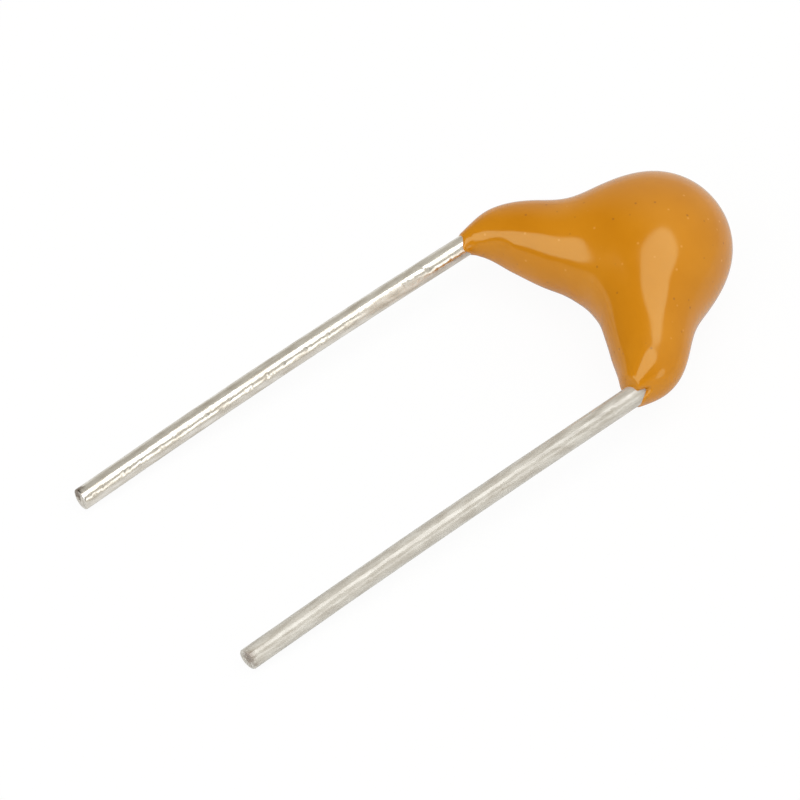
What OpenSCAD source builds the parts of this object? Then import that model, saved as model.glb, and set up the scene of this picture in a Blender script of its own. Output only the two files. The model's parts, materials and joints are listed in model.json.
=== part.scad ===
// Radial multilayer ceramic capacitor: a chip soldered between two formed wires and
// dipped in epoxy. It lies as it would on a table, on its belly and both wire tips.
//
// The object is laid out in its own plane first: X across the two wires, Y from the
// wire tips to the crown, Z through the thickness, with the wires leaving the coat at
// Y = 0. laid_down() then tips that plane onto the table and centres it.

/* [Wires] */
// Diameter of the tinned wire
wire_d = 0.45; // [0.40:0.01:0.50]
// Distance between the two wires where they leave the coat
pitch = 5.08; // [4.90:0.01:5.30]
// Straight length of the left wire below the coat
left_wire_l = 9.95; // [6:0.05:25]
// Straight length of the right wire below the coat
right_wire_l = 9.80; // [6:0.05:25]
// Radius of the wire's two bends, at its axis
bend_r = 0.55; // [0.40:0.05:0.70]
// Angle by which the wire splays from the chip to its exit
splay = 45; // [40:1:50]
// Straight wire inside the coat, from the exit to the lower bend
exit_l = 0.03; // [0.02:0.01:0.10]
// How far the wire's upper end passes the chip's middle
wire_top = 0.42; // [0.30:0.01:0.50]

/* [Chip] */
// Length of the chip over its terminations
chip_l = 2.00; // [1.85:0.01:2.10]
// Width of the chip, along the wires
chip_w = 1.25; // [1.15:0.01:1.35]
// Thickness of the chip
chip_t = 1.25; // [1.00:0.01:1.35]
// Height of the chip's middle above the exits
chip_y = 2.85; // [2.75:0.01:2.95]
// How far each termination wraps over the ceramic
band_l = 0.40; // [0.25:0.01:0.50]
// Thickness of a termination's metal
band_t = 0.04; // [0.02:0.005:0.06]
// Number of plates in each electrode
plate_count = 5; // [2:1:7]
// Thickness of a plate
plate_t = 0.02; // [0.01:0.005:0.03]
// Margin of bare ceramic beside the plates
plate_margin = 0.16; // [0.12:0.01:0.22]
// Gap between a plate's free end and the other termination
plate_gap = 0.20; // [0.15:0.01:0.30]
// Ceramic cover over the outer plates
cover_t = 0.17; // [0.12:0.01:0.22]

/* [Solder] */
// Gap between the termination and the wire
joint_gap = 0.04; // [0.02:0.01:0.08]
// Thickness of the solder round the wire
solder_t = 0.04; // [0.02:0.01:0.06]
// Height of the solder fillet on the termination
solder_h = 0.84; // [0.76:0.01:0.90]
// Length of the solder joint along the wire
solder_l = 0.84; // [0.70:0.01:0.90]

/* [Epoxy coat] */
// Height of the crown above the exits
crown_h = 4.55; // [4.40:0.01:4.80]
// Height of the crotch between the legs above the exits
crotch_h = 0.91; // [0.80:0.01:1.10]
// Thickness of the coat at the head
head_t = 2.80; // [2.60:0.01:3.10]
// Distance from the exits' middle to the head's corner
cheek_r = 4.10; // [4.00:0.01:4.25]
// Distance from the exits' middle to the crotch's side
cheek_in = 0.94; // [0.85:0.01:1.10]
// Thickness of the coat at the head's corner
cheek_t = 2.56; // [2.40:0.01:2.75]
// Distance from the exits' middle to the waist above the leg
waist_r = 3.13; // [3.05:0.01:3.30]
// Distance from the exits' middle to the inside of the waist
waist_in = 1.01; // [0.90:0.01:1.15]
// Thickness of the coat at the waist
waist_t = 2.06; // [1.90:0.01:2.30]
// Distance from the exits' middle to the outside of the leg
leg_r = 2.95; // [2.90:0.01:3.10]
// Distance from the exits' middle to the inside of the leg
leg_in = 1.14; // [1.00:0.01:1.30]
// Thickness of the coat on the leg
leg_t = 1.61; // [1.50:0.01:1.80]
// Epoxy outside the wire's line at the shoulder
shoulder_out = 0.235; // [0.20:0.005:0.32]
// Epoxy inside the wire's line at the shoulder
shoulder_in = 0.865; // [0.75:0.005:1.00]
// Thickness of the coat at the shoulder
shoulder_t = 1.20; // [1.10:0.01:1.40]
// Epoxy outside the wire at the foot, as if it ran on to the exit unrounded
foot_out = 0.035; // [0.03:0.005:0.15]
// Epoxy inside the wire at the foot, as if it ran on to the exit unrounded
foot_in = 0.195; // [0.10:0.005:0.30]
// Thickness of the foot, as if it ran on to the exit unrounded
foot_t = 0.60; // [0.55:0.01:0.75]
// Angle over which the foot rounds off towards the exit
foot_round = 10; // [7:0.5:14]
// Lip of epoxy round the wire at the exit
lip_t = 0.025; // [0.02:0.005:0.03]

/* [Hidden] */

$fn = 64;
wire_r = wire_d / 2;
exit_x = pitch / 2;
joint_x = chip_l / 2 + joint_gap + wire_r;        // the wire's axis beside the chip
bend_cut = bend_r * tan(splay / 2);               // what a bend takes off each straight
splay_l = (exit_x - joint_x) / sin(splay);        // slanted length, corner to corner
knee_h = exit_l + bend_cut + (exit_x - joint_x) / tan(splay); // the upper corner's height
core_l = chip_l - 2 * band_t;
core_w = chip_w - 2 * band_t;
core_t = chip_t - 2 * band_t;
fillet_r = joint_gap + wire_r;                    // touches the termination and the wire
plate_pitch = (core_t - 2 * cover_t - plate_t) / (2 * plate_count - 1);

// Sections of the coat. Each lies in a plane through the exits' middle, turned by its
// angle from the right exit towards the crown, and is an ellipse between an inner and
// an outer radius. One row for each STATION_STEP of angle: inner radius, outer radius,
// half thickness. The left leg mirrors the right one.
STATION_STEP = 18;
RIGHT_HALF = [
    [exit_x - wire_r - foot_in, exit_x + wire_r + foot_out, foot_t / 2],
    [exit_x - wire_r - shoulder_in, exit_x + wire_r + shoulder_out, shoulder_t / 2],
    [leg_in, leg_r, leg_t / 2],
    [waist_in, waist_r, waist_t / 2],
    [cheek_in, cheek_r, cheek_t / 2],
    [crotch_h, crown_h, head_t / 2]
];
STATIONS = [for (i = [0:10]) RIGHT_HALF[min(i, 10 - i)]];
LIP = [exit_x - wire_r - lip_t, exit_x + wire_r + lip_t, wire_r + lip_t];
COAT_RINGS = 60; // sections from one exit to the other
COAT_SIDES = 36; // points round each section

// How the object lies: the belly under the crown's section and the longer wire's tip
// both touch the table. The slope t of that common tangent solves
// (reach*t + wire_r)^2 = (half_h*t)^2 + belly^2.
longest = max(left_wire_l, right_wire_l);
mid_h = (crown_h + crotch_h) / 2;
half_h = (crown_h - crotch_h) / 2;
belly = head_t / 2;
reach = longest + mid_h;
qa = reach * reach - half_h * half_h;
qb = reach * wire_r;
qc = wire_r * wire_r - belly * belly;
tilt = atan((-qb + sqrt(qb * qb - qa * qc)) / qa);
lift = longest * sin(tilt) + wire_r * cos(tilt);
y_max = mid_h * cos(tilt) + norm([half_h * cos(tilt), belly * sin(tilt)]);
y_min = -longest * cos(tilt) - wire_r * sin(tilt);

module laid_down()
    translate([0, -(y_max + y_min) / 2, lift]) rotate([tilt, 0, 0]) children();

// Mirror image for the left-hand pieces
module on_left() mirror([1, 0, 0]) children();

// A list with one more value at each end, in line with the last two
function padded(c) = let (n = len(c) - 1)
    [2 * c[0] - c[1], each c, 2 * c[n] - c[n - 1]];

// Control values of the spline that passes through the stations, by repeated correction
function settled(targets, c, rounds) = rounds == 0 ? c :
    let (p = padded(c))
    settled(targets, [for (i = [0:len(c) - 1]) (6 * targets[i] - p[i] - p[i + 2]) / 4],
            rounds - 1);
CONTROLS = padded(settled(STATIONS, STATIONS, 30));

// Cubic spline through the stations at an angle, which bends without a break
function spline(angle) =
    let (u = angle / STATION_STEP, i = min(floor(u), len(STATIONS) - 2), s = u - i)
    ((1 - s) ^ 3 * CONTROLS[i] + (3 * s ^ 3 - 6 * s ^ 2 + 4) * CONTROLS[i + 1]
     + (3 * s * (1 + s - s ^ 2) + 1) * CONTROLS[i + 2] + s ^ 3 * CONTROLS[i + 3]) / 6;

// Share of the full section that the foot has reached, a quarter round from the exit
function grown(angle) = sqrt(1 - max(0, 1 - angle / foot_round) ^ 2);

// One section of the coat at an angle from 0 (right exit) to 180 (left exit)
function section(angle) =
    let (row = LIP + (spline(angle) - LIP) * grown(min(angle, 180 - angle)),
         r_in = row[0], r_out = row[1], half_t = row[2])
    [for (k = [0:COAT_SIDES - 1])
        let (phi = 360 * k / COAT_SIDES,
             r = (r_in + r_out) / 2 + (r_out - r_in) / 2 * cos(phi))
        [r * cos(angle), r * sin(angle), half_t * sin(phi)]];

// Outside of the dipped coat: a loft through the sections, closed at both exits
module coat_skin() {
    n = COAT_SIDES;
    points = [for (i = [0:COAT_RINGS]) each section(180 * i / COAT_RINGS)];
    walls = [for (i = [0:COAT_RINGS - 1], k = [0:n - 1])
        let (a = i * n + k, b = i * n + (k + 1) % n)
        each [[a, a + n, b], [b, a + n, b + n]]];
    first = [for (k = [0:n - 1]) k];
    last = [for (k = [0:n - 1]) COAT_RINGS * n + n - 1 - k];
    polyhedron(points, concat(walls, [first, last]), convexity = 6);
}

module epoxy_coat() laid_down() color([0.80, 0.52, 0.12]) difference() {
    coat_skin();
    ceramic_core();
    chip_end();
    joint_mass();
    wire(right_wire_l);
    on_left() { chip_end(); joint_mass(); wire(left_wire_l); }
}

// A formed wire, run from its tip: straight out of the coat, splayed down the leg, then
// beside the chip. Each stretch starts where the last one ends.
module wire(straight_l) {
    lower = straight_l + exit_l;
    run = splay_l - 2 * bend_cut;
    translate([exit_x, -straight_l, 0]) {
        along_y(lower);
        translate([-bend_r, lower, 0]) {
            bend();
            rotate([0, 0, splay]) translate([bend_r, 0, 0]) {
                along_y(run);
                translate([bend_r, run, 0]) {
                    rotate([0, 0, 180 - splay]) bend();
                    rotate([0, 0, -splay]) translate([-bend_r, 0, 0])
                        along_y(chip_y + wire_top - knee_h - bend_cut);
                }
            }
        }
    }
}

module along_y(length) rotate([-90, 0, 0]) cylinder(r = wire_r, h = length);

module bend() rotate_extrude(angle = splay) translate([bend_r, 0]) circle(r = wire_r);

module left_lead() laid_down() color([0.78, 0.77, 0.75]) on_left() wire(left_wire_l);
module right_lead() laid_down() color([0.78, 0.77, 0.75]) wire(right_wire_l);

// The chip's end as it is over its termination, out to the metal's faces
module chip_end() translate([(chip_l - band_l) / 2, chip_y, 0])
    cube([band_l, chip_w, chip_t], center = true);

module ceramic_core() translate([0, chip_y, 0]) cube([core_l, core_w, core_t], center = true);

module ceramic_body() laid_down() color([0.72, 0.62, 0.48]) difference() {
    ceramic_core();
    plates(0);
    on_left() plates(1);
}

// One electrode's plates, which reach the right end of the ceramic. The two electrodes
// take alternate levels of the stack.
module plates(first) for (i = [0:plate_count - 1])
    translate([plate_gap - core_l / 2, chip_y - core_w / 2 + plate_margin,
               cover_t - core_t / 2 + (2 * i + first) * plate_pitch])
        cube([core_l - plate_gap, core_w - 2 * plate_margin, plate_t]);

module right_electrodes() laid_down() color([0.62, 0.60, 0.55]) plates(0);
module left_electrodes() laid_down() color([0.62, 0.60, 0.55]) on_left() plates(1);

// A metal cap over the end of the ceramic
module termination() difference() {
    chip_end();
    ceramic_core();
}

module right_termination() laid_down() color([0.70, 0.70, 0.70]) termination();
module left_termination() laid_down() color([0.70, 0.70, 0.70]) on_left() termination();

// Solder with a fillet from the termination to the wire, and a film round the wire
module joint_mass() translate([0, chip_y + solder_l / 2, 0]) rotate([90, 0, 0])
    linear_extrude(height = solder_l) {
        translate([joint_x, 0]) circle(r = wire_r + solder_t);
        difference() {
            translate([chip_l / 2, -solder_h / 2]) square([joint_x - chip_l / 2, solder_h]);
            for (side = [-1, 1])
                translate([joint_x, side * (wire_r + solder_t + fillet_r)]) circle(r = fillet_r);
        }
    }

module solder() difference() {
    joint_mass();
    chip_end();
    wire(right_wire_l);
}

module right_solder() laid_down() color([0.66, 0.67, 0.69]) solder();
module left_solder() laid_down() color([0.66, 0.67, 0.69]) on_left() solder();

epoxy_coat();
ceramic_body();
left_electrodes();
right_electrodes();
left_termination();
right_termination();
left_solder();
right_solder();
left_lead();
right_lead();
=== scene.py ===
# Radial multilayer ceramic capacitor: a chip soldered between two formed, tinned wires
# and dipped in amber epoxy. It lies on a table, on its belly and both wire tips.
import json

import bpy
import numpy as np
from mathutils import Matrix, Vector


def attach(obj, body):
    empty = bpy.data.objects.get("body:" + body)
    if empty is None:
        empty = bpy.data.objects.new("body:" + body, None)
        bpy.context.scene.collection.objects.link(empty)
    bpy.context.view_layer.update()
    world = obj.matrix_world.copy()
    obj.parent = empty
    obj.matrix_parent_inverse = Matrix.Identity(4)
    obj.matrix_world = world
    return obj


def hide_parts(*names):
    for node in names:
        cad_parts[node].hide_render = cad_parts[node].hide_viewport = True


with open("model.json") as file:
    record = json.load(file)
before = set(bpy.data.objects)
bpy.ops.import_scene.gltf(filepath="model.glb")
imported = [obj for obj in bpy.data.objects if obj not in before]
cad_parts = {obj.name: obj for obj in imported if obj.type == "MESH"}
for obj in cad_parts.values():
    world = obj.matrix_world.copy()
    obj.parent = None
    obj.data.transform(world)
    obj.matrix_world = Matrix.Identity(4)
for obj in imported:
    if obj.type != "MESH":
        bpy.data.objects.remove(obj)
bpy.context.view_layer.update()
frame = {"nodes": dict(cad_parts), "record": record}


# Ceramic block of the chip: barium titanate, cast in sheets, stacked with the plates
# between them and fired into one hard tan block. It sits sealed in the middle of the coat.
CERAMIC_TONES = ((0.50, 0.39, 0.27), (0.60, 0.49, 0.36))
CERAMIC_GRAIN = 0.00003
CERAMIC_ROUGHNESS = (0.55, 0.75)
GRAIN_CONTRAST = (0.32, 0.68)   # levels of the noise at which a tone is pure


def mapped(nodes, links, value, start, end, low=0.0, high=1.0, bend="LINEAR"):
    """Output that runs from low to high as the value goes from start to end, in a straight
    line or a smooth step, and stays level past both."""
    node = nodes.new("ShaderNodeMapRange")
    node.interpolation_type = bend
    sockets = ("From Min", "From Max", "To Min", "To Max")
    for socket, level in zip(sockets, (start, end, low, high)):
        node.inputs[socket].default_value = level
    links.new(value, node.inputs["Value"])
    return node.outputs["Result"]


def blended(nodes, links, share, low, high):
    """Output colour = low + (high - low) * share, where each colour is three levels or
    another node's output."""
    node = nodes.new("ShaderNodeMix")
    node.data_type = "RGBA"
    links.new(share, node.inputs["Factor"])
    for socket, colour in (("A", low), ("B", high)):
        if isinstance(colour, tuple):
            node.inputs[socket].default_value = (*colour, 1)
        else:
            links.new(colour, node.inputs[socket])
    return node.outputs["Result"]


def grained(name, tones, grain, roughness, metallic=0.0, bump=0.2, relief=0.000002):
    """Material whose colour and roughness run between two values: value = low + (high - low)
    * share, where the share is a fractal noise in Object coordinates with its contrast
    raised. The same noise gives the bump. The grain and the relief are in metres. Returns
    the material, its nodes and its links."""
    material = bpy.data.materials.new(name)
    material.use_nodes = True
    nodes, links = material.node_tree.nodes, material.node_tree.links
    shader = nodes["Principled BSDF"]
    shader.inputs["Metallic"].default_value = metallic
    place = nodes.new("ShaderNodeTexCoord")
    noise = nodes.new("ShaderNodeTexNoise")
    noise.name = "grain"
    noise.inputs["Scale"].default_value = 1 / grain
    noise.inputs["Detail"].default_value = 4
    links.new(place.outputs["Object"], noise.inputs["Vector"])
    share = mapped(nodes, links, noise.outputs["Fac"], *GRAIN_CONTRAST)
    tone = blended(nodes, links, share, *tones)
    tone.node.name = "tone"
    links.new(tone, shader.inputs["Base Color"])
    polish = mapped(nodes, links, share, 0, 1, *roughness)
    polish.node.name = "polish"
    links.new(polish, shader.inputs["Roughness"])
    rise = nodes.new("ShaderNodeBump")
    rise.inputs["Strength"].default_value = bump
    rise.inputs["Distance"].default_value = relief
    links.new(noise.outputs["Fac"], rise.inputs["Height"])
    links.new(rise.outputs["Normal"], shader.inputs["Normal"])
    return material, nodes, links


def dress(node, material):
    """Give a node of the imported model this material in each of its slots."""
    mesh = frame["nodes"][node].data
    if not mesh.materials:
        mesh.materials.append(material)
    for index in range(len(mesh.materials)):
        mesh.materials[index] = material


tan_ceramic = grained("fired_ceramic", CERAMIC_TONES, CERAMIC_GRAIN, CERAMIC_ROUGHNESS)[0]
dress("ceramic_body", tan_ceramic)


# Electrode plates: nickel paste printed on the ceramic sheets and fired with them. They
# reach the left and the right end of the block by turns.
PLATE_TONES = ((0.46, 0.44, 0.39), (0.60, 0.57, 0.51))
PLATE_GRAIN = 0.00002
PLATE_ROUGHNESS = (0.35, 0.55)

plate_metal = grained("fired_nickel", PLATE_TONES, PLATE_GRAIN, PLATE_ROUGHNESS, metallic=1.0)[0]
dress("left_electrodes", plate_metal)
dress("right_electrodes", plate_metal)


# End terminations: metal caps fired and plated on both ends of the block, where the
# plates come out.
CAP_TONES = ((0.58, 0.58, 0.57), (0.72, 0.72, 0.71))
CAP_GRAIN = 0.00004
CAP_ROUGHNESS = (0.40, 0.60)

cap_metal = grained("plated_end_metal", CAP_TONES, CAP_GRAIN, CAP_ROUGHNESS, metallic=1.0)[0]
dress("left_termination", cap_metal)
dress("right_termination", cap_metal)


# Solder joints: tin that flowed between each cap and its wire before the part was dipped,
# and set there with a hollow fillet.
SOLDER_TONES = ((0.60, 0.61, 0.62), (0.78, 0.78, 0.79))
SOLDER_GRAIN = 0.00008
SOLDER_ROUGHNESS = (0.18, 0.34)

joint_tin = grained("joint_solder", SOLDER_TONES, SOLDER_GRAIN, SOLDER_ROUGHNESS, metallic=1.0)[0]
dress("left_solder", joint_tin)
dress("right_solder", joint_tin)


# Wires: tinned copper, 0.45 mm, one formed rod each, straight out of the coat and splayed
# inside its leg up to the chip. The tin is streaked, dented and rubbed dull in a patch, and
# duller all over on the right wire. Shears cut the ends, which bared some copper.
MM = 0.001                      # sizes are in millimetres from here on, grains in metres
BEND_R = 0.55
SPLAY = np.radians(45)
STRAIGHT_INSIDE = 0.03          # from the coat's exit to the lower bend
BESIDE_CHIP_X = 1.265           # the wire's axis beside the chip
WIRE_TOP_Y = 3.27
SPARE = 0.0005                  # how far the tin stays inside the wire's full radius
WIRE_RINGS, WIRE_SIDES = 900, 72
CUT_EDGE = 0.035                # rounding of the cut's rim
EDGE_RINGS, FACE_RINGS = 8, 14
CUT_FADE = 0.12                 # along the wire, over which the cut's slant dies out
TEAR_DEPTH = 0.010
# Bow to the left and lean of the tip to the right, depth of the dents, a scuffed stretch's
# place from the tip and how much deeper its dents are, and slant of the cut
LEFT_WIRE = dict(bow=0.060, lean=0.05, dent=0.0045, scuff=(8.6, 1.2), slant=0.10, seed=11)
RIGHT_WIRE = dict(bow=0.035, lean=0.0, dent=0.0022, scuff=(9.4, 2.5), slant=0.16, seed=5)
SCUFF_LENGTH = 0.40             # half of the stretch
STREAK_DEPTH = 0.0014
DENTED_SIDE = np.radians(40)    # above level, on the right of each wire
DENTED_SPREAD = 0.12            # fall of the cosine over which the dents grow shallow
DENTED_ELSEWHERE = 0.15         # the dents' share on the far side
DENT_HARDNESS = 2.5             # how sharply a dent's edge turns
# Waves in the surface: count, shortest and longest length, most turns round the wire
STREAK_WAVES = (26, 1.2, 8, 8)
DENT_WAVES = (70, 0.14, 0.80, 7)
TEAR_WAVES = (30, 0.15, 0.9, 4)
# rubbed: the rubbed patch's place from the tip, and its turn up from level on the right
LEFT_TIN = dict(tones=((0.68, 0.63, 0.55), (0.96, 0.93, 0.87)), roughness=(0.32, 0.16),
                metallic=1.0, film=0.0, rubbed=(7.6, np.radians(35)))
RIGHT_TIN = dict(tones=((0.45, 0.417, 0.360), (0.64, 0.62, 0.57)), roughness=(0.66, 0.54),
                 metallic=0.35, film=1.0, rubbed=(7.8, np.radians(75)))
TIN_GRAIN, BARED_GRAIN = 0.00010, 0.00009
TIN_BUMP = 0.30
FILM_ROUGHNESS, FILM_IOR = 0.06, 1.78
DRAWN_OUT = (1.0, 0.20, 1.0)    # the tin's patches are five times as long as wide
RUBBED_MIDDLE = 0.45            # from the wire's axis, so outside the wire
RUBBED_RIM = (0.34, 0.26)       # from its middle: where it starts, and where it is full
RUBBED_DULLING = 0.40           # added to the roughness
BARED = (0.27, 0.22, 0.175)     # the cut's dull copper and tin
BARED_MIDDLE = (0.06, 0.12)     # outwards and up from the wire's axis at the cut
BARED_RIM = (0.34, 0.25)        # from its middle: where it starts, and where it is full
BARED_NOISE = 0.30              # the most that the noise adds to the distance

pins = {mount["name"]: mount for mount in frame["record"]["mounts"]}
left_pin, right_pin = pins["left_lead_pin"], pins["right_lead_pin"]
wire_r = right_pin["dims"]["r_mm"]
exit_x = right_pin["pos_m"][0] / MM
# The part's own plane, tipped onto the table: across the wires, along them to the crown,
# and through the thickness. Its origin is the middle of the two exits.
across = np.array([1.0, 0.0, 0.0])
along = -np.array(right_pin["axis"])
along /= np.linalg.norm(along)
through = np.cross(across, along)
middle = np.array(right_pin["pos_m"]) / MM + along * right_pin["dims"]["length_mm"] / 2
middle[0] = 0


def laid_down(points):
    """Points of the part's plane (millimetres) as places on the table (metres)."""
    return (middle + points @ np.stack([across, along, through])) * MM


def rippled(s, turn, waves, seed):
    """Smooth uneven surface from -1 to 1 or so: a sum of sine waves that run along the
    wire (s, millimetres) and round it (turn, radians), with set lengths and random phases.
    The waves are (count, shortest length along, longest length along, most turns)."""
    count, shortest, longest, most_turns = waves
    dice = np.random.default_rng(seed)
    total = np.zeros(np.broadcast(s, turn).shape)
    for _ in range(count):
        length = np.exp(dice.uniform(np.log(shortest), np.log(longest)))
        turns = dice.integers(-most_turns, most_turns + 1)
        phase = dice.uniform(0, 2 * np.pi)
        total += np.sin(2 * np.pi * s / length + turns * turn + phase) / np.sqrt(count)
    return total


def quarter_round(share):
    """0 to 1 as a quarter of a circle: the height of an edge of radius 1."""
    return np.sqrt(1 - (1 - np.clip(share, 0, 1)) ** 2)


def new_mesh(name, grid):
    """Mesh piece from a grid of rings (rows) and points round each ring (columns), with the
    middle of the first and of the last ring as the points that close them. Faces point
    outwards when the rings turn clockwise seen along their path."""
    rows, columns = grid.shape[:2]
    i, k = np.meshgrid(np.arange(rows - 1), np.arange(columns), indexing="ij")
    a, b = i * columns + k, i * columns + (k + 1) % columns
    walls = np.stack([a, b, b + columns, a + columns], -1).reshape(-1, 4)
    ring, following = np.arange(columns), (np.arange(columns) + 1) % columns
    first, last = rows * columns, rows * columns + 1
    caps = np.concatenate([
        np.stack([following, ring, np.full(columns, first)], 1),
        np.stack([ring, following, np.full(columns, last)], 1)
        + np.array([(rows - 1) * columns, (rows - 1) * columns, 0]),
    ])
    middles = np.stack([grid[0].mean(0), grid[-1].mean(0)])
    mesh = bpy.data.meshes.new(name)
    mesh.from_pydata(laid_down(np.concatenate([grid.reshape(-1, 3), middles])), [],
                     walls.tolist() + caps.tolist())
    mesh.polygons.foreach_set("use_smooth", np.ones(len(mesh.polygons), bool))
    mesh.update()
    piece = bpy.data.objects.new(name, mesh)
    bpy.context.scene.collection.objects.link(piece)
    return piece


def formed_wire(name, straight, side, bow, lean, dent, scuff, slant, seed):
    """Round rod along a bent path. The heading turns from straight to the splay and back
    over two arcs, and the path is its running sum. The radius dips by long streaks, and by
    small dents that are deepest on one side and in the scuffed stretch. The cut face is a
    slanted, slightly torn disc with a rounded rim."""
    arc = BEND_R * SPLAY
    slanted = (exit_x - BESIDE_CHIP_X) / np.sin(SPLAY) - 2 * BEND_R * np.tan(SPLAY / 2)
    lower = straight + STRAIGHT_INSIDE
    upper_bend = lower + arc + slanted
    knee = STRAIGHT_INSIDE + 2 * BEND_R * np.sin(SPLAY) + slanted * np.cos(SPLAY)
    length = upper_bend + arc + WIRE_TOP_Y - knee
    rim = CUT_EDGE * (1 - np.cos(np.linspace(0, np.pi / 2, EDGE_RINGS)))
    s = np.concatenate([np.zeros(FACE_RINGS), rim, np.linspace(CUT_EDGE, length, WIRE_RINGS)[1:]])
    heading = SPLAY * (np.clip((s - lower) / arc, 0, 1) - np.clip((s - upper_bend) / arc, 0, 1))
    step = np.diff(s, prepend=0)
    mean = np.convolve(heading, (0.5, 0.5))[:len(s)]
    x = exit_x - np.cumsum(np.sin(mean) * step)
    y = -straight + np.cumsum(np.cos(mean) * step)
    out = np.clip(1 - s / straight, 0, 1)
    x = x + side * (lean * out - bow * np.sin(np.pi * out))
    turn = np.linspace(0, 2 * np.pi, WIRE_SIDES, endpoint=False)[None]
    run = s[:, None]
    streaks = rippled(run, turn, STREAK_WAVES, seed) * STREAK_DEPTH
    lumps = rippled(run, turn, DENT_WAVES, seed + 1)
    facing = DENTED_SIDE if side > 0 else np.pi - DENTED_SIDE
    dented = np.exp((np.cos(turn - facing) - 1) / DENTED_SPREAD)
    share = DENTED_ELSEWHERE + (1 - DENTED_ELSEWHERE) * dented
    worn = 1 + scuff[1] * np.exp(-((run - scuff[0]) / SCUFF_LENGTH) ** 4)
    dents = -dent * worn * share * np.logaddexp(0, DENT_HARDNESS * lumps) / DENT_HARDNESS
    radius = wire_r - SPARE + np.minimum(streaks + dents, 0)
    inset = CUT_EDGE * (1 - quarter_round(run / CUT_EDGE))
    face = np.clip(np.arange(len(s)) / FACE_RINGS, 0, 1)[:, None]
    radius = (radius - inset) * face
    across_cut = radius * np.cos(turn)
    near_cut = np.exp(-run / CUT_FADE)
    # The cut's tears, three times finer than their waves, die out towards its rim
    torn = rippled(3 * radius, 2 * turn, TEAR_WAVES, seed + 2) * TEAR_DEPTH * (1 - face ** 6)
    shift = near_cut * (slant * (across_cut + wire_r) / 2 + torn)
    grid = np.stack([
        side * (x[:, None] + across_cut * np.cos(heading)[:, None]),
        y[:, None] + across_cut * np.sin(heading)[:, None] + shift,
        radius * np.sin(turn) * np.ones_like(run),
    ], -1)[1:]
    if side > 0:
        grid = grid[:, ::-1]
    return new_mesh(name, grid)


def distance(nodes, links, place, point):
    """Output that holds how far the place is from a fixed point."""
    node = nodes.new("ShaderNodeVectorMath")
    node.operation = "DISTANCE"
    node.inputs[1].default_value = point
    links.new(place, node.inputs[0])
    return node.outputs["Value"]


def tinned(name, side, straight, tones, roughness, metallic, film, rubbed):
    """Tin over copper: tone and polish vary over patches drawn out along the wire, and what
    is dull with oxide is less of a metal. A film of flux gives dull tin a fine gloss line.
    The rubbed patch is rougher where the distance to its middle, drawn out in the same way,
    is small. Copper shows where the distance to the cut plus some noise is small."""
    material, nodes, links = grained(
        name, tones, TIN_GRAIN, roughness, metallic=metallic, bump=TIN_BUMP)
    shader, place = nodes["Principled BSDF"], nodes["Texture Coordinate"].outputs["Object"]
    shader.inputs["Coat Weight"].default_value = film
    shader.inputs["Coat Roughness"].default_value = FILM_ROUGHNESS
    shader.inputs["Coat IOR"].default_value = FILM_IOR
    drawn = nodes.new("ShaderNodeMapping")
    drawn.inputs["Scale"].default_value = DRAWN_OUT
    links.new(place, drawn.inputs["Vector"])
    links.new(drawn.outputs["Vector"], nodes["grain"].inputs["Vector"])
    from_tip, turn = rubbed
    patch = laid_down(np.array([side * exit_x + RUBBED_MIDDLE * np.cos(turn),
                                from_tip - straight, RUBBED_MIDDLE * np.sin(turn)]))
    off = distance(nodes, links, drawn.outputs["Vector"], patch * DRAWN_OUT)
    start, full = RUBBED_RIM
    dulled = mapped(nodes, links, off, start * MM, full * MM, 0, RUBBED_DULLING)
    rough = nodes.new("ShaderNodeMath")
    rough.operation = "ADD"
    links.new(nodes["polish"].outputs["Result"], rough.inputs[0])
    links.new(dulled, rough.inputs[1])
    links.new(rough.outputs["Value"], shader.inputs["Roughness"])
    outwards, up = BARED_MIDDLE
    cut = laid_down(np.array([side * (exit_x + outwards), -straight, up]))
    ragged = nodes.new("ShaderNodeTexNoise")
    ragged.inputs["Scale"].default_value = 1 / BARED_GRAIN
    ragged.inputs["Detail"].default_value = 3
    links.new(place, ragged.inputs["Vector"])
    far = nodes.new("ShaderNodeMath")
    far.operation = "MULTIPLY_ADD"
    far.inputs[1].default_value = BARED_NOISE * MM
    links.new(ragged.outputs["Fac"], far.inputs[0])
    links.new(distance(nodes, links, place, cut), far.inputs[2])
    start, full = BARED_RIM
    bared = mapped(nodes, links, far.outputs["Value"], start * MM, full * MM)
    metal = blended(nodes, links, bared, nodes["tone"].outputs["Result"], BARED)
    links.new(metal, shader.inputs["Base Color"])
    return material


for name, pin, side, form, tin in (
        ("left_wire", left_pin, -1, LEFT_WIRE, LEFT_TIN),
        ("right_wire", right_pin, 1, RIGHT_WIRE, RIGHT_TIN)):
    straight = pin["dims"]["length_mm"]
    wire = formed_wire(name, straight, side, **form)
    wire.data.materials.append(tinned(name + "_tin", side, straight, **tin))
    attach(wire, "root")
    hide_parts(name.replace("wire", "lead"))


# Epoxy coat: the soldered chip is dipped head down in amber epoxy, which runs down both
# wires and cures to a glossy wishbone. Surface tension rounds the head and the crotch, and
# the epoxy thins to a lip round each wire.
STATION_STEP = 18.0
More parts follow.
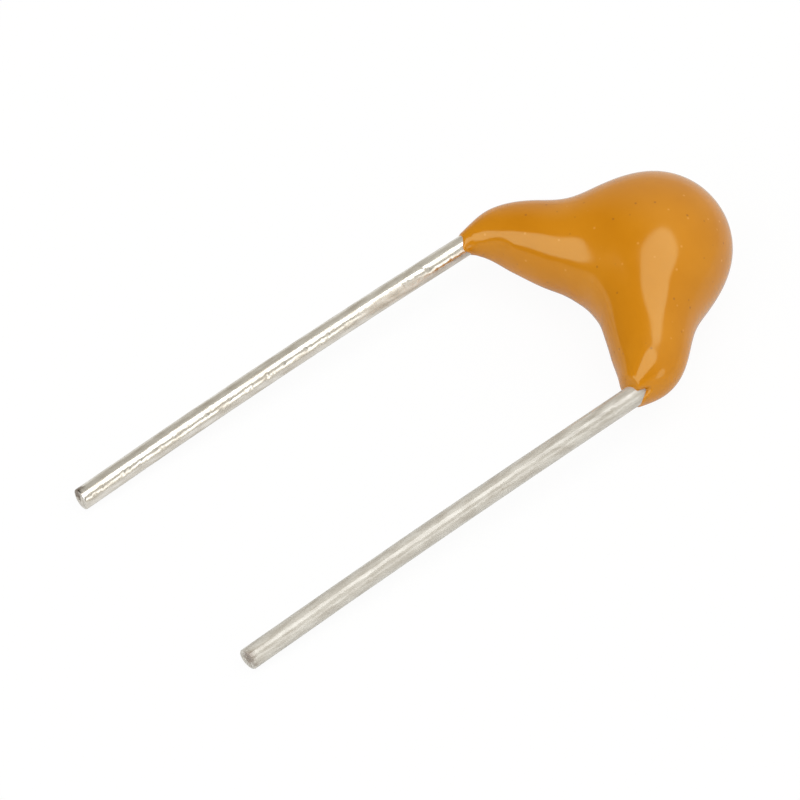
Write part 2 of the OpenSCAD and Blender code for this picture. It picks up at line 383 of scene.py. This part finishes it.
# One row per section, from the right exit over the crown to the left one: inner radius
# and outer radius from the exits' middle, and half thickness
SECTIONS = np.array([
    (2.00, 2.715, 0.502),       # right foot, as if it ran on to the exit unrounded
    (1.452, 2.982, 0.645),      # right shoulder
    (1.155, 2.95, 0.790),       # right leg
    (1.03, 3.18, 0.995),        # waist above the right leg
    (0.955, 4.07, 1.265),       # right corner of the head
    (0.935, 4.538, 1.395),      # crown
    (0.92, 4.205, 1.250),       # left corner of the head
    (0.98, 3.105, 1.005),       # waist above the left leg
    (1.09, 2.905, 0.855),       # left leg
    (1.45, 2.98, 0.635),        # left shoulder
    (2.24, 2.80, 0.335),        # left foot, as if it ran on to the exit unrounded
])
SETTLING = 30                   # rounds in which the spline's control values settle
EGG = 0.035                     # how much fuller the right side of a section is
LIP = 0.025
RIGHT_FOOT = 16.0               # degrees over which the right foot rounds off
LEFT_FOOT = (-3.5, 17.0)        # degrees over which the left foot flares from the wire
FLARE_START = 8.0
LEFT_RUN = 5.5                  # degrees that the coat runs on past the left exit
# A slight ridge where the epoxy gathered on the right foot: its height as a share of the
# section, the degrees over which it begins, its middle and half length in degrees from the
# exit, and its middle and half width in degrees round the section
RIDGE_HEIGHT, RIDGE_START = 0.031, 4.0
RIDGE_AT, RIDGE_LENGTH = 16.8, 5.0
RIDGE_TURN, RIDGE_WIDTH = 84, 16
# The epoxy's edge: its height over each exit, and bells of (height, middle and half width
# in degrees round the wire). The right edge has notches, the left one a tongue.
RIGHT_EDGE, RIGHT_NOTCHES = 0.03, ((0.21, 28, 17), (0.05, 75, 45))
LEFT_EDGE, LEFT_TONGUE = -0.03, (0.19, 135, 45)
EDGE_SWELL = 2.2                # degrees over which the skin rises out of the wire
HIDDEN_R = 0.85                 # of the wire's radius, where the skin runs on inside it
COAT_RINGS, COAT_SIDES = 430, 200
RINGS_CROWD = 0.65              # how much closer the rings stand at the crown
AMBER_TONES = ((0.498, 0.178, 0.002), (0.540, 0.202, 0.005))
AMBER_GRAIN = 0.0012
AMBER_ROUGHNESS = (0.11, 0.15)
AMBER_IOR = 1.56
GLOSS_TINT = (0.88, 1.0, 0.63, 1)
PEEL_BUMP, PEEL_RELIEF = 0.25, 0.000004
# Dark and light specks: colour, spacing in metres, and radius as a share of the spacing
SPECKS = (((0.26, 0.09, 0.012), 0.00030, 0.075), ((0.66, 0.31, 0.06), 0.00034, 0.065))
SPECK_RIM = (1.6, 0.6)          # of its radius: where a speck starts, and where it is full
SPECK_SHARE = 0.6


def padded(values):
    """One more row at each end, in line with the last two."""
    return np.vstack([2 * values[0] - values[1], values, 2 * values[-1] - values[-2]])


def spline(angle):
    """Cubic B-spline through the sections, one every STATION_STEP degrees. Its control
    values start as the sections and are corrected until the curve, which weighs three
    neighbours 1:4:1, passes through each section."""
    control = SECTIONS.copy()
    for _ in range(SETTLING):
        p = padded(control)
        control = (6 * SECTIONS - p[:-2] - p[2:]) / 4
    p = padded(control)
    u = angle / STATION_STEP
    i = np.minimum(np.floor(u).astype(int), len(SECTIONS) - 2)
    t = (u - i)[:, None]
    return ((1 - t) ** 3 * p[i] + (3 * t ** 3 - 6 * t ** 2 + 4) * p[i + 1]
            + (3 * t * (1 + t - t ** 2) + 1) * p[i + 2] + t ** 3 * p[i + 3]) / 6


def coat_grid():
    """Egg-shaped sections that turn about the exits' middle: r runs from the inner to the
    outer radius with the cosine of phi, z with its sine, times one plus the egg's share
    that grows to the right. A bell-shaped ridge widens the section on the right foot.
    Towards each exit the section shrinks to a lip round the wire, and past the epoxy's
    edge it dives under the wire's surface."""
    share = np.linspace(0, np.pi, COAT_RINGS)
    crowd = 1 - RINGS_CROWD + RINGS_CROWD * np.abs(np.cos(share))
    angle = 90 - 90 * np.cos(share) * crowd
    angle = np.where(angle < 90, angle, 90 + (angle - 90) * (1 + LEFT_RUN / 90))
    phi = np.linspace(0, 2 * np.pi, COAT_SIDES, endpoint=False)[None]
    lip = np.array([exit_x - wire_r - LIP, exit_x + wire_r + LIP, wire_r + LIP])
    near = np.minimum(angle, 180 - angle)
    begun = np.clip((near - LEFT_FOOT[0]) / FLARE_START, 0, 1)
    flare = np.clip((near - LEFT_FOOT[0]) / (LEFT_FOOT[1] - LEFT_FOOT[0]), 0, 1)
    flare = np.sin(np.pi / 2 * flare) * begun ** 2 * (3 - 2 * begun)
    rounding = np.where(angle < 90, quarter_round(near / RIGHT_FOOT), flare)[:, None]
    row = lip + (spline(angle) - lip) * rounding
    inner, outer, half = (row[:, j:j + 1] for j in range(3))
    away = ((angle[:, None] - RIDGE_AT) / RIDGE_LENGTH) ** 2 \
        + ((np.degrees(phi) - RIDGE_TURN) / RIDGE_WIDTH) ** 2
    ridge = 1 + RIDGE_HEIGHT * np.exp(-away) * np.clip(angle / RIDGE_START, 0, 1)[:, None]
    r = (inner + outer) / 2 + (outer - inner) / 2 * np.cos(phi) * ridge
    half = half * ridge
    theta = np.radians(angle)[:, None]
    egg = 1 + EGG * rounding * np.cos(theta) * np.cos(phi)
    skin = np.stack([r * np.cos(theta), r * np.sin(theta), half * np.sin(phi) * egg], -1)
    # The wire under the skin, at the same height, and the epoxy's edge round it
    rise = np.clip((skin[..., 1] - STRAIGHT_INSIDE) / BEND_R, 0, np.sin(SPLAY))
    axis_x = np.sign(np.cos(theta)) * (exit_x - BEND_R * (1 - np.sqrt(1 - rise ** 2)))
    reach = skin[..., ::2] - np.stack([axis_x, np.zeros_like(axis_x)], -1)
    size = np.maximum(np.linalg.norm(reach, axis=-1, keepdims=True), 1e-6)
    under = skin.copy()
    under[..., ::2] = reach / size * HIDDEN_R * wire_r
    under[..., 0] += axis_x
    turn = (np.degrees(phi) + 180) % 360 - 180
    right_edge = RIGHT_EDGE
    for height, at, width in RIGHT_NOTCHES:
        right_edge = right_edge + height * np.exp(-((turn - at) / width) ** 2)
    height, at, width = LEFT_TONGUE
    aside = (np.degrees(phi) - at + 180) % 360 - 180
    left_edge = LEFT_EDGE - height * np.exp(-(aside / width) ** 2)
    edge = np.where(theta < np.pi / 2, right_edge, left_edge)
    start = np.degrees(edge / exit_x)
    grown = quarter_round((near[:, None] - start) / EDGE_SWELL)[..., None]
    return under + (skin - under) * grown


def amber_epoxy():
    """Glossy dipped epoxy: amber that runs between two tones over a broad noise, with
    sparse dark and light specks in it and a faint orange peel in its gloss. A speck shows
    where the distance to a random cell point is under the speck's radius."""
    material, nodes, links = grained("amber_epoxy", AMBER_TONES, AMBER_GRAIN, AMBER_ROUGHNESS,
                                     bump=PEEL_BUMP, relief=PEEL_RELIEF)
    shader = nodes["Principled BSDF"]
    shader.inputs["IOR"].default_value = AMBER_IOR
    shader.inputs["Specular Tint"].default_value = GLOSS_TINT
    place = nodes["Texture Coordinate"].outputs["Object"]
    colour = nodes["tone"].outputs["Result"]
    for speck, spacing, radius in SPECKS:
        cells = nodes.new("ShaderNodeTexVoronoi")
        cells.inputs["Scale"].default_value = 1 / spacing
        links.new(place, cells.inputs["Vector"])
        start, full = radius * SPECK_RIM[0], radius * SPECK_RIM[1]
        inside = mapped(nodes, links, cells.outputs["Distance"], start, full, 0, SPECK_SHARE)
        colour = blended(nodes, links, inside, colour, speck)
    links.new(colour, shader.inputs["Base Color"])
    return material


coat = new_mesh("dipped_coat", coat_grid()[:, ::-1])
coat.data.materials.append(amber_epoxy())
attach(coat, "root")
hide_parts("epoxy_coat")


# Table: a sheet of white paper that the part lies on. The camera sees it as plain white with
# the part's soft shadow. Gloss and metal mirror it greyer, half as lit paper and half as a
# glow, because plain white would make the rims and the wires' lower sides too pale.
TABLE_SIZE = 0.8                # metres
PAPER = (0.85, 0.85, 0.85, 1)
SHADOW_SHARE = 0.06             # the lit paper's share in what the camera sees
MIRRORED_SHARE = 0.5            # the glow's share in what the part mirrors
MIRRORED_GLOW = 0.5


def seen_white(nodes, links):
    """1 for camera, glossy and transmitted rays, and 0 for the rays that only light."""
    path = nodes.new("ShaderNodeLightPath")
    either = path.outputs["Is Camera Ray"]
    for ray in ("Is Glossy Ray", "Is Transmission Ray"):
        more = nodes.new("ShaderNodeMath")
        more.operation = "MAXIMUM"
        links.new(either, more.inputs[0])
        links.new(path.outputs[ray], more.inputs[1])
        either = more.outputs["Value"]
    return either


table_mesh = bpy.data.meshes.new("table")
half = TABLE_SIZE / 2
table_mesh.from_pydata(
    [(-half, -half, 0), (half, -half, 0), (half, half, 0), (-half, half, 0)], [], [(0, 1, 2, 3)])
table = bpy.data.objects.new("table", table_mesh)
bpy.context.scene.collection.objects.link(table)
paper = bpy.data.materials.new("white_paper")
paper.use_nodes = True
nodes, links = paper.node_tree.nodes, paper.node_tree.links
nodes.clear()
matt = nodes.new("ShaderNodeBsdfDiffuse")
matt.inputs["Color"].default_value = PAPER
glow = nodes.new("ShaderNodeEmission")
camera_ray = nodes.new("ShaderNodeLightPath").outputs["Is Camera Ray"]
links.new(mapped(nodes, links, camera_ray, 0, 1, MIRRORED_GLOW, 1), glow.inputs["Strength"])
plain = mapped(nodes, links, camera_ray, 0, 1, MIRRORED_SHARE, 1 - SHADOW_SHARE)
share = nodes.new("ShaderNodeMath")
share.operation = "MULTIPLY"
links.new(seen_white(nodes, links), share.inputs[0])
links.new(plain, share.inputs[1])
blend = nodes.new("ShaderNodeMixShader")
out = nodes.new("ShaderNodeOutputMaterial")
links.new(share.outputs["Value"], blend.inputs["Fac"])
links.new(matt.outputs["BSDF"], blend.inputs[1])
links.new(glow.outputs["Emission"], blend.inputs[2])
links.new(blend.outputs["Shader"], out.inputs["Surface"])
table_mesh.materials.append(paper)


# Studio: softboxes with soft rims, one overhead, one that stands beyond the wire tips and a
# small oval one on the right, and walls that are dim in front and pale behind. The camera
# sees white behind everything, and gloss and metal mirror the walls at two thirds.
SOFTBOXES = (
    # name, shape, direction (right, back, up), half width and half height as seen from the
    # part, radiance
    ("overhead", "RECTANGLE", (0.144, -0.11, 1.0), (0.362, 0.585), 2.38),
    ("front", "RECTANGLE", (0.032, -0.875, 0.58), (0.475, 0.395), 2.44),
    ("right", "ELLIPSE", (0.84, 0.31, 0.43), (0.197, 0.158), 1.45),
)
SOFTBOX_DISTANCE = 0.5          # metres
CORE = 0.75
# Levels of the walls, and the cosines from the way back and from the right between which
# each one sets in
WALL_FRONT, WALL_BACK, WALL_RIGHT = 0.25, 0.96, 1.13
BACK_RIM, RIGHT_RIM = (-0.15, 0.5), (0.7, 0.95)
WALL_COLOUR = (1.0, 0.97, 0.89)
MIRRORED_WALL = 0.66            # how bright the part mirrors them


def soften(lamp):
    """Round the lamp's corners and soften its rim: full light where u to the fourth plus v
    to the fourth is under CORE, none where it is over 1, u and v from the middle to a side."""
    lamp.use_nodes = True
    nodes, links = lamp.node_tree.nodes, lamp.node_tree.links
    face = nodes.new("ShaderNodeNewGeometry")
    spread = nodes.new("ShaderNodeVectorMath")
    spread.operation = "MULTIPLY_ADD"
    spread.inputs[1].default_value = (2, 2, 0)
    spread.inputs[2].default_value = (-1, -1, 0)
    links.new(face.outputs["Parametric"], spread.inputs[0])
    square = nodes.new("ShaderNodeVectorMath")
    square.operation = "MULTIPLY"
    links.new(spread.outputs["Vector"], square.inputs[0])
    links.new(spread.outputs["Vector"], square.inputs[1])
    fourth = nodes.new("ShaderNodeVectorMath")
    fourth.operation = "DOT_PRODUCT"
    links.new(square.outputs["Vector"], fourth.inputs[0])
    links.new(square.outputs["Vector"], fourth.inputs[1])
    fade = mapped(nodes, links, fourth.outputs["Value"], CORE, 1, 1, 0, "SMOOTHSTEP")
    links.new(fade, nodes["Emission"].inputs["Strength"])


for name, shape, direction, half_size, radiance in SOFTBOXES:
    lamp = bpy.data.lights.new(name, "AREA")
    lamp.shape = shape
    lamp.size = 2 * half_size[0] * SOFTBOX_DISTANCE
    lamp.size_y = 2 * half_size[1] * SOFTBOX_DISTANCE
    area = lamp.size * lamp.size_y * (np.pi / 4 if shape == "ELLIPSE" else 1)
    lamp.energy = np.pi * area * radiance
    soften(lamp)
    towards = Vector(direction).normalized()
    upright = towards.cross(Vector((1, 0, 0))).normalized()
    turn = Matrix((upright.cross(towards), upright, towards)).transposed().to_4x4()
    holder = bpy.data.objects.new(name, lamp)
    holder.matrix_world = Matrix.Translation(towards * SOFTBOX_DISTANCE) @ turn
    bpy.context.scene.collection.objects.link(holder)

world = bpy.data.worlds.new("studio")
bpy.context.scene.world = world
world.use_nodes = True
nodes, links = world.node_tree.nodes, world.node_tree.links
nodes.clear()
place = nodes.new("ShaderNodeTexCoord")


def slope(direction, rim, low, high):
    """Level that runs smoothly from low to high as the cosine between the look and the
    direction goes from one side of the rim to the other."""
    cosine = nodes.new("ShaderNodeVectorMath")
    cosine.operation = "DOT_PRODUCT"
    cosine.inputs[1].default_value = Vector(direction).normalized()
    links.new(place.outputs["Generated"], cosine.inputs[0])
    return mapped(nodes, links, cosine.outputs["Value"], *rim, low, high, "SMOOTHSTEP")


walls = nodes.new("ShaderNodeMath")
walls.operation = "MAXIMUM"
links.new(slope((0, 1, 0), BACK_RIM, WALL_FRONT, WALL_BACK), walls.inputs[0])
links.new(slope((1, 0, 0), RIGHT_RIM, 0, WALL_RIGHT), walls.inputs[1])
path = nodes.new("ShaderNodeLightPath")
met = nodes.new("ShaderNodeMath")
met.operation = "MULTIPLY"
links.new(walls.outputs["Value"], met.inputs[0])
dimmed = mapped(nodes, links, path.outputs["Is Glossy Ray"], 0, 1, 1, MIRRORED_WALL)
links.new(dimmed, met.inputs[1])
level = nodes.new("ShaderNodeMix")
level.inputs["B"].default_value = 1.0
links.new(path.outputs["Is Camera Ray"], level.inputs["Factor"])
links.new(met.outputs["Value"], level.inputs["A"])
paint = blended(nodes, links, path.outputs["Is Camera Ray"], WALL_COLOUR, (1.0, 1.0, 1.0))
back = nodes.new("ShaderNodeBackground")
links.new(level.outputs["Result"], back.inputs["Strength"])
links.new(paint, back.inputs["Color"])
out = nodes.new("ShaderNodeOutputWorld")
links.new(back.outputs["Background"], out.inputs["Surface"])


# Camera: above the wires' right side and looking down the wires towards the crown, with
# the photograph's angle, distance and crop. Its angles are given in the part's plane.
VIEW_AZIMUTH = np.radians(50.16)
VIEW_ELEVATION = np.radians(53.12)
VIEW_DISTANCE = 95.08
VIEW_CENTRE = np.array([-0.915, -3.104, -0.965])
LENS = 212.35                   # at a 36 mm sensor
NEAREST_SEEN = 0.001            # metres

right = np.array([np.cos(VIEW_AZIMUTH), np.sin(VIEW_AZIMUTH), 0])
ahead = np.array([-np.sin(VIEW_AZIMUTH) * np.cos(VIEW_ELEVATION),
                  np.cos(VIEW_AZIMUTH) * np.cos(VIEW_ELEVATION), -np.sin(VIEW_ELEVATION)])
plane = np.stack([across, along, through])
turned = np.stack([right, np.cross(right, ahead), -ahead]) @ plane
spot = laid_down(VIEW_CENTRE - ahead * VIEW_DISTANCE)
lens = bpy.data.cameras.new("camera")
lens.lens = LENS
lens.clip_start = NEAREST_SEEN
camera = bpy.data.objects.new("camera", lens)
camera.matrix_world = Matrix.Translation(spot) @ Matrix(turned.T.tolist()).to_4x4()
bpy.context.scene.collection.objects.link(camera)
bpy.context.scene.camera = camera
bpy.context.scene.view_settings.view_transform = "Standard"

bpy.context.view_layer.update()
